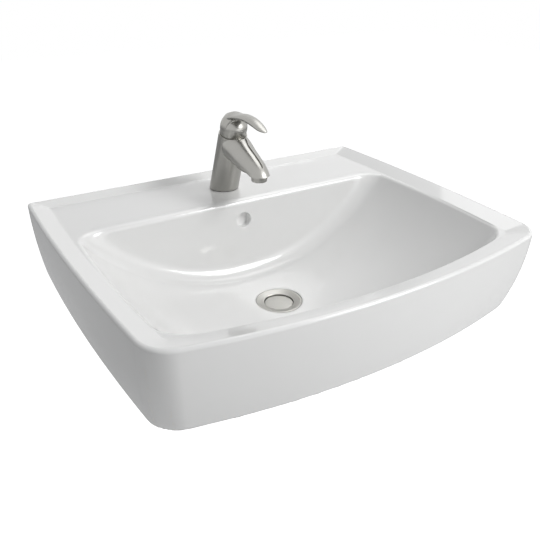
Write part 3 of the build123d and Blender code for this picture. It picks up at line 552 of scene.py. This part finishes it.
# What a user would change on the handle, in millimetres from the ring's centre
grip = {
    "ringY": -103.4,
    "ringZ": 164.2,
    "lean": math.radians(13.6),
    "pivotH": 2.0,
    "ballR": 20.25,
    "hollowR": 18.3,
    "wideR": 21.0,
    "wideH": 12.0,
    "domeTopH": 34.6,
    "frontTopH": 28.0,
    "slitBack": -8.8,
    "skirtH": -5.25,
    "skirtFall": 7.5,
    # distance behind the ring's axis, half width, underside and top of each lever section
    "lever": (
        (13.0, 11.5, 14.0, 29.8),
        (5.0, 14.2, 14.0, 35.0),
        (-8.8, 14.3, 27.5, 38.0),
        (-23.0, 12.0, 33.0, 44.3),
        (-38.0, 10.5, 38.5, 48.6),
        (-54.0, 9.3, 41.0, 51.3),
        (-66.0, 8.5, 42.0, 51.3),
        (-78.0, 7.0, 43.0, 50.0),
        (-87.0, 4.0, 45.5, 48.5),
    ),
}
ringBack = np.array([0.0, math.cos(grip["lean"]), math.sin(grip["lean"])])
ringUp = np.array([0.0, -math.sin(grip["lean"]), math.cos(grip["lean"])])


def atRing(x, back, height):
    centre = np.array([0.0, grip["ringY"], grip["ringZ"]])
    return centre + ringBack * back + ringUp * height + np.array([x, 0.0, 0.0])


def naturalSpline(knots, values, places):
    # a smooth curve through every value, straight at both ends
    n = len(knots)
    h = np.diff(knots)
    system = np.eye(n)
    right = np.zeros(n)
    for k in range(1, n - 1):
        system[k, k - 1 : k + 2] = (h[k - 1], 2 * (h[k - 1] + h[k]), h[k])
        right[k] = 6 * ((values[k + 1] - values[k]) / h[k] - (values[k] - values[k - 1]) / h[k - 1])
    bend = np.linalg.solve(system, right)
    result = []
    for x in places:
        k = min(max(np.searchsorted(knots, x) - 1, 0), n - 2)
        a, b = knots[k + 1] - x, x - knots[k]
        result.append(
            bend[k] * a**3 / (6 * h[k])
            + bend[k + 1] * b**3 / (6 * h[k])
            + (values[k] / h[k] - bend[k] * h[k] / 6) * a
            + (values[k + 1] / h[k] - bend[k + 1] * h[k] / 6) * b
        )
    return np.array(result)


def turnedShape(name, profile, finish, place, count=96):
    # a closed profile of (radius, height), turned about an axis; points on the axis are merged
    points = []
    for radius, height in profile:
        for k in range(count):
            turn = 2 * math.pi * k / count
            points.append(place(radius * math.cos(turn), radius * math.sin(turn), height))
    faces = gridFaces(len(profile), count)
    last = (len(profile) - 1) * count
    for k in range(count):
        j = (k + 1) % count
        faces.append((last + k, last + j, j, k))
    thing = meshFrom(name, points, faces, finish)
    shape = bmesh.new()
    shape.from_mesh(thing.data)
    bmesh.ops.remove_doubles(shape, verts=shape.verts, dist=0.00001)
    bmesh.ops.dissolve_degenerate(shape, edges=shape.edges, dist=0.000001)
    bmesh.ops.recalc_face_normals(shape, faces=shape.faces)
    shape.to_mesh(thing.data)
    shape.free()
    return thing


def ovalLoft(name, sections, finish, place, steps, count=96):
    knots = -np.array([s[0] for s in sections])
    at = np.linspace(knots[0], knots[-1], steps)
    half = naturalSpline(knots, np.array([s[1] for s in sections]), at)
    low = naturalSpline(knots, np.array([s[2] for s in sections]), at)
    high = naturalSpline(knots, np.array([s[3] for s in sections]), at)
    points = []
    for k in range(steps):
        for c in range(count):
            turn = 2 * math.pi * c / count
            points.append(
                place(
                    half[k] * math.cos(turn),
                    -at[k],
                    (low[k] + high[k]) / 2 + (high[k] - low[k]) / 2 * math.sin(turn),
                )
            )
    faces = gridFaces(steps, count)
    # rounded ends
    for ring, way in ((0, -1), (steps - 1, 1)):
        base = [np.array(points[ring * count + c]) for c in range(count)]
        centre = sum(base) / count
        previous = [ring * count + c for c in range(count)]
        for turn in (30, 60, 80):
            t = math.radians(turn)
            reach = 0.45 * half[ring] * math.sin(t) * way
            new = []
            for c in range(count):
                p = centre + (base[c] - centre) * math.cos(t) - ringBack * reach
                new.append(len(points))
                points.append(p)
            for c in range(count):
                d = (c + 1) % count
                faces.append((previous[c], previous[d], new[d], new[c]))
            previous = new
        faces.append(tuple(previous))
    thing = meshFrom(name, points, faces, finish)
    shape = bmesh.new()
    shape.from_mesh(thing.data)
    bmesh.ops.recalc_face_normals(shape, faces=shape.faces)
    shape.to_mesh(thing.data)
    shape.free()
    return thing


def selectOnly(pieces):
    bpy.ops.object.select_all(action="DESELECT")
    for piece in pieces:
        piece.select_set(True)
    bpy.context.view_layer.objects.active = pieces[0]


def applyModifier(thing, kind, **settings):
    modifier = thing.modifiers.new(kind.lower(), kind)
    for key, setting in settings.items():
        setattr(modifier, key, setting)
    selectOnly([thing])
    bpy.ops.object.modifier_apply(modifier=modifier.name)


def domeProfile(top):
    # a quarter of an oval, from the widest place up to the axis
    radius, low = grip["wideR"], grip["wideH"]
    turns = [math.radians(a) for a in range(0, 91, 3)]
    return [(radius * math.cos(t), low + (top - low) * math.sin(t)) for t in turns]


def makeHandle():
    ballR, pivotH = grip["ballR"], grip["pivotH"]
    wideR, wideH = grip["wideR"], grip["wideH"]
    ballProfile = [(math.sqrt(ballR**2 - (pivotH - h) ** 2), h) for h in np.linspace(-10.0, pivotH, 14)]
    flare = []
    for t in np.linspace(0, 1, 10)[1:-1]:
        ease = 3 * t * t - 2 * t**3
        flare.append((ballR + (wideR - ballR) * ease, pivotH + (wideH - pivotH) * t))
    lowProfile = [(0.0, -10.0)] + ballProfile + flare + domeProfile(grip["frontTopH"])
    low = turnedShape("handleLow", lowProfile, "satin_nickel", atRing)
    highProfile = [(0.0, wideH - 4), (wideR - 0.02, wideH - 4)] + domeProfile(grip["domeTopH"])
    high = turnedShape("handleHigh", highProfile, "satin_nickel", atRing)
    # the high dome stands only behind the slit's end
    shape = bmesh.new()
    shape.from_mesh(high.data)
    cut = bmesh.ops.bisect_plane(
        shape,
        geom=shape.verts[:] + shape.edges[:] + shape.faces[:],
        plane_co=Vector(atRing(0, grip["slitBack"], 0)) * mm,
        plane_no=Vector(-ringBack),
        clear_outer=True,
    )
    edges = [e for e in cut["geom_cut"] if isinstance(e, bmesh.types.BMEdge)]
    bmesh.ops.edgenet_fill(shape, edges=edges)
    shape.to_mesh(high.data)
    shape.free()
    arm = ovalLoft("handleArm", grip["lever"], "satin_nickel", atRing, 90)
    handle = low
    selectOnly([handle, high, arm])
    bpy.ops.object.join()
    handle.name = "leverHandleShell"
    # one skin over the three, with soft joins
    handle.data.remesh_voxel_size = 0.5 * mm
    selectOnly([handle])
    bpy.ops.object.voxel_remesh()
    applyModifier(handle, "SMOOTH", factor=0.5, iterations=8)
    # the hollow inside, then the lower edge, which drops to the front
    centre = Vector(atRing(0, 0, pivotH)) * mm
    bpy.ops.mesh.primitive_uv_sphere_add(
        segments=96, ring_count=64, radius=grip["hollowR"] * mm, location=centre
    )
    ball = bpy.context.object
    applyModifier(handle, "BOOLEAN", object=ball, operation="DIFFERENCE", solver="EXACT")
    bpy.data.objects.remove(ball)
    shape = bmesh.new()
    shape.from_mesh(handle.data)
    drop = grip["skirtFall"] / (2 * ballR)
    normal = Vector(ringUp - ringBack * drop)
    bmesh.ops.bisect_plane(
        shape,
        geom=shape.verts[:] + shape.edges[:] + shape.faces[:],
        plane_co=Vector(atRing(0, 0, grip["skirtH"])) * mm,
        plane_no=-normal,
        clear_outer=True,
    )
    rim = [e for e in shape.edges if e.is_boundary]
    bmesh.ops.recalc_face_normals(shape, faces=shape.faces)
    bmesh.ops.bridge_loops(shape, edges=rim)
    shape.to_mesh(handle.data)
    shape.free()
    handle.data.materials.clear()
    handle.data.materials.append(finishes["satin_nickel"])
    handle.data.shade_smooth()
    selectOnly([handle])
    bpy.ops.object.shade_smooth_by_angle(angle=math.radians(50))
    return handle


# What a user would change on the view and the light, in degrees, metres and watts
view = {
    "turn": -31.6774,
    "pitch": 27.9757,
    "roll": 0.4865,
    "lens": 40.90,
    "place": (-0.440389, -0.928976, 0.422866),
}
studio = {
    # place, target, width and height, power
    "lamps": {
        "keyLamp": ((1.2, -1.65, 1.45), (0, -0.25, 0.0), (0.9, 0.9), 29),
        "topLamp": ((0.95, 0.35, 1.85), (0, -0.2, 0.05), (1.3, 1.3), 10),
        "frontLamp": ((0.6, -2.3, 0.12), (0, -0.3, 0.0), (1.6, 0.9), 6),
    },
    "skyColour": (0.98, 0.99, 1.0, 1),
    "skyStrength": 0.33,
    "floorZ": -0.80,
    "floorSize": 14,
    "floorColour": (0.92, 0.92, 0.92, 1),
    "floorGlow": 0.72,
}


def makeCamera():
    turn, pitch, roll = (math.radians(view[key]) for key in ("turn", "pitch", "roll"))
    flat = math.cos(pitch)
    forward = Vector((-math.sin(turn) * flat, math.cos(turn) * flat, -math.sin(pitch)))
    right = Vector((math.cos(turn), math.sin(turn), 0.0))
    up = right.cross(forward)
    rolledRight = right * math.cos(roll) + up * math.sin(roll)
    rolledUp = up * math.cos(roll) - right * math.sin(roll)
    data = bpy.data.cameras.new("camera")
    data.sensor_width = 36.0
    data.lens = view["lens"]
    data.clip_end = 50.0
    camera = bpy.data.objects.new("camera", data)
    bpy.context.scene.collection.objects.link(camera)
    facing = Matrix((rolledRight, rolledUp, -forward)).transposed().to_4x4()
    camera.matrix_world = Matrix.Translation(view["place"]) @ facing
    bpy.context.scene.camera = camera


def makeLamp(name, place, target, size, power):
    data = bpy.data.lights.new(name, "AREA")
    data.shape = "RECTANGLE"
    data.size, data.size_y = size
    data.energy = power
    lamp = bpy.data.objects.new(name, data)
    bpy.context.scene.collection.objects.link(lamp)
    lamp.location = place
    lamp.rotation_euler = (Vector(target) - Vector(place)).to_track_quat("-Z", "Y").to_euler()


def makeStudio():
    world = bpy.data.worlds.new("studio")
    bpy.context.scene.world = world
    sky = Graph(world)
    rays = ("Is Camera Ray", "Is Glossy Ray", "Is Transmission Ray")
    camera, glossy, transmission = (sky.value("LightPath", ray) for ray in rays)
    lit = {"Color": studio["skyColour"], "Strength": studio["skyStrength"]}
    plain = sky.value("Background", 0, None, lit)
    white = sky.value("Background", 0, None, {"Color": (1, 1, 1, 1), "Strength": 1.0})
    seen = {"Fac": camera + glossy + transmission, 1: plain, 2: white}
    sky.add("OutputWorld", None, {"Surface": sky.value("MixShader", 0, None, seen)})
    for name, lamp in studio["lamps"].items():
        makeLamp(name, *lamp)
    bpy.ops.mesh.primitive_plane_add(size=studio["floorSize"], location=(0, 0, studio["floorZ"]))
    floor = bpy.context.object
    floor.name = "studioFloor"
    cover = bpy.data.materials.new("studio floor")
    graph = Graph(cover)
    body = graph.value("BsdfDiffuse", 0, None, {"Color": studio["floorColour"]})
    strength = studio["floorGlow"] * graph.value("LightPath", "Is Camera Ray")
    glow = graph.value("Emission", 0, None, {"Strength": strength})
    both = graph.value("AddShader", 0, None, {0: body, 1: glow})
    graph.add("OutputMaterial", None, {"Surface": both})
    floor.data.materials.append(cover)


def dressNodes():
    slots = {entry["node"]: entry["material_slot"] for entry in frame["record"]["subparts"]}
    for name, node in frame["nodes"].items():
        for place in node.material_slots:
            place.material = finishes.get(slots.get(name, ""), finishes["steel"])


dressNodes()
makeCamera()
makeStudio()
print("camera and studio made")

basin = makeBasin()
under = makeUnderside()
for piece in (basin, under):
    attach(piece, "fixed_parts")
    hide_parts("basin")
print("basin made")

handle = makeHandle()
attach(handle, "lever")
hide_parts("lever_handle")
print("handle made")

bpy.context.scene.view_settings.view_transform = "Standard"
